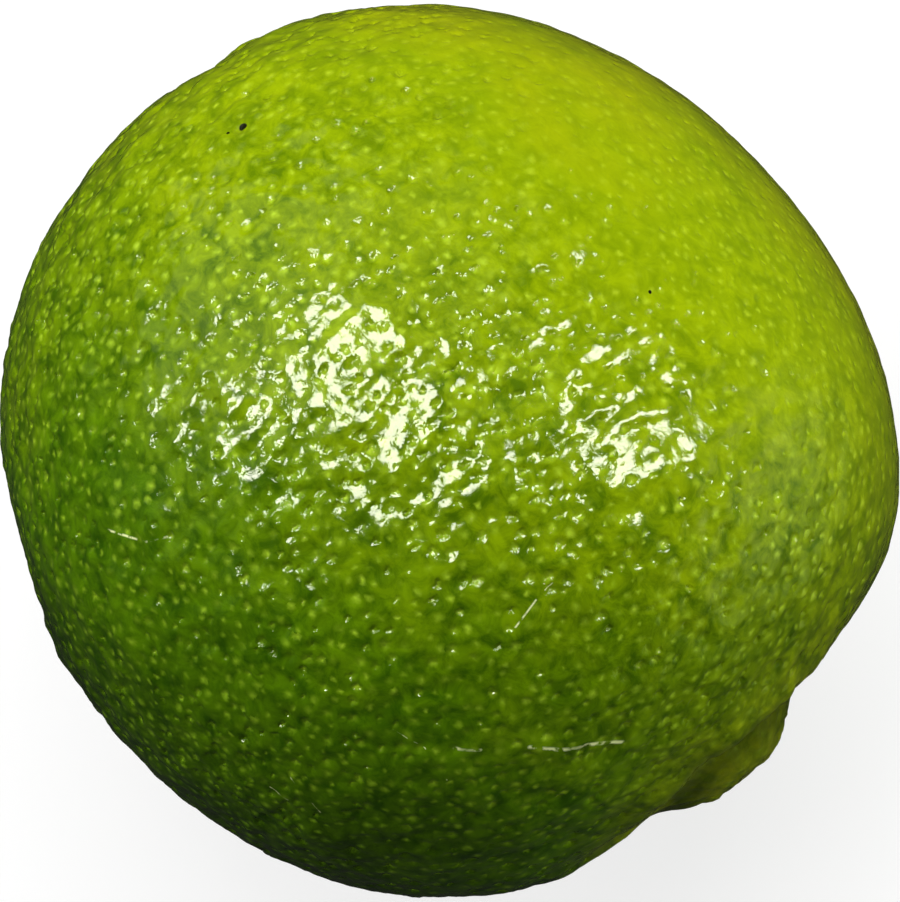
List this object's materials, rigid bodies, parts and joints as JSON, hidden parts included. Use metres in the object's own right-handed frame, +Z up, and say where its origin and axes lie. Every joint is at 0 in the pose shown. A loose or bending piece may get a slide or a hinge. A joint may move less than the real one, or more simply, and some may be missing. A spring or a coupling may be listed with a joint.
{
  "type": "lime",
  "caption": "Whole fresh lime lying on its side, with a low nipple at one end and a dry stem button in a shallow hollow at the other.",
  "frame": {"origin": "middle of the small flat spot that the fruit rests on", "axes": "+X along the fruit's core line, from the stem end to the nipple; +Z up when the fruit lies on its flat spot; +Y completes a right-handed frame"},
  "size_m": [0.0528, 0.0506, 0.0489],
  "materials": {
    "rind": "waxy, glossy citrus rind, green to yellow-green, pitted all over by oil glands that show as pale dots",
    "stem_button": "dry, matt, brownish green calyx with a pale cut stalk end"
  },
  "bodies": {
    "root": {"fruit": "rind", "stem_button": "stem_button"}
  },
  "joints": []
}
